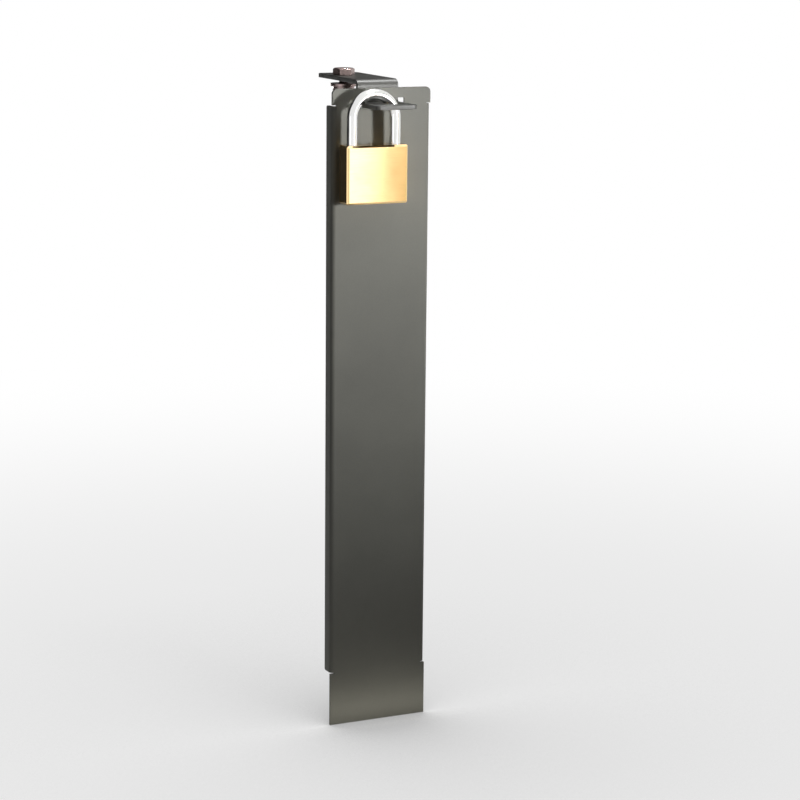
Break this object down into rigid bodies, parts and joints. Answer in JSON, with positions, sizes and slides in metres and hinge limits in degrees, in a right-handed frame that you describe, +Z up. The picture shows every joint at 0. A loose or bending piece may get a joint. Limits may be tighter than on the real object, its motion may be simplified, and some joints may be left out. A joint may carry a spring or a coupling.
{
  "type": "filing cabinet lock bar",
  "caption": "Folded sheet-steel lock bar for a drawer cabinet, hung on a bolted hasp bracket whose tongue passes through its slot and takes a brass padlock.",
  "frame": {"origin": "underside of the hasp bracket's seat, on the bracket's centre line and level with the fixing bolt", "axes": "+X to the right seen from the front, +Y back over the cabinet's top, +Z up along the bar"},
  "size_m": [0.061, 0.0834, 0.3818],
  "materials": {
    "bar_paint": "satin",
    "bracket_paint": "satin",
    "bolt_steel": "satin",
    "case_brass": "satin",
    "plug_brass": "satin",
    "shackle_chrome": "polished",
    "pin_steel": "satin"
  },
  "bodies": {
    "cabinet_fixing": {"hasp_bracket": "bracket_paint", "fixing_bolt": "bolt_steel", "lock_washer": "bolt_steel", "flat_washer": "bolt_steel", "hex_nut": "bolt_steel", "lock_bar": "bar_paint"},
    "shackle": {"shackle": "shackle_chrome"},
    "case": {"padlock_case": "case_brass", "heel_pin": "pin_steel", "plug_retainer": "pin_steel", "latch_bore_plug": "case_brass", "latch_spring": "pin_steel", "heel_spring": "pin_steel", "driver_pin_1": "pin_steel", "driver_pin_2": "pin_steel", "driver_pin_3": "pin_steel", "driver_pin_4": "pin_steel", "pin_spring_1": "pin_steel", "pin_spring_2": "pin_steel", "pin_spring_3": "pin_steel", "pin_spring_4": "pin_steel", "chamber_plug_1": "case_brass", "chamber_plug_2": "case_brass", "chamber_plug_3": "case_brass", "chamber_plug_4": "case_brass"},
    "plug": {"plug": "plug_brass", "key_pin_1": "plug_brass", "key_pin_2": "plug_brass", "key_pin_3": "plug_brass", "key_pin_4": "plug_brass"},
    "latch": {"latch_bolt": "pin_steel"}
  },
  "joints": [
    {"name": "padlock_swing", "type": "hinge", "parent": "cabinet_fixing", "child": "shackle", "pos_m": [-0.00778, -0.048, -0.0085], "axis": [-1, 0, 0], "range_deg": [-3, 26]},
    {"name": "case_drop", "type": "slide", "parent": "shackle", "child": "case", "axis": [0, 0, -1], "range_m": [0, 0.008], "deforming": ["heel_spring"]},
    {"name": "plug_turn", "type": "hinge", "parent": "case", "child": "plug", "pos_m": [-0.00778, -0.048, -0.06], "axis": [0, 0, 1], "range_deg": [0, 90]},
    {"name": "latch_slide", "type": "slide", "parent": "case", "child": "latch", "axis": [-1, 0, 0], "range_m": [0, 0.0031], "deforming": ["latch_spring"]}
  ],
  "couplings": [
    {"joint": "plug_turn", "follows": "case_drop", "rad_per_m": 196.3},
    {"joint": "latch_slide", "follows": "case_drop", "ratio": 0.38}
  ]
}
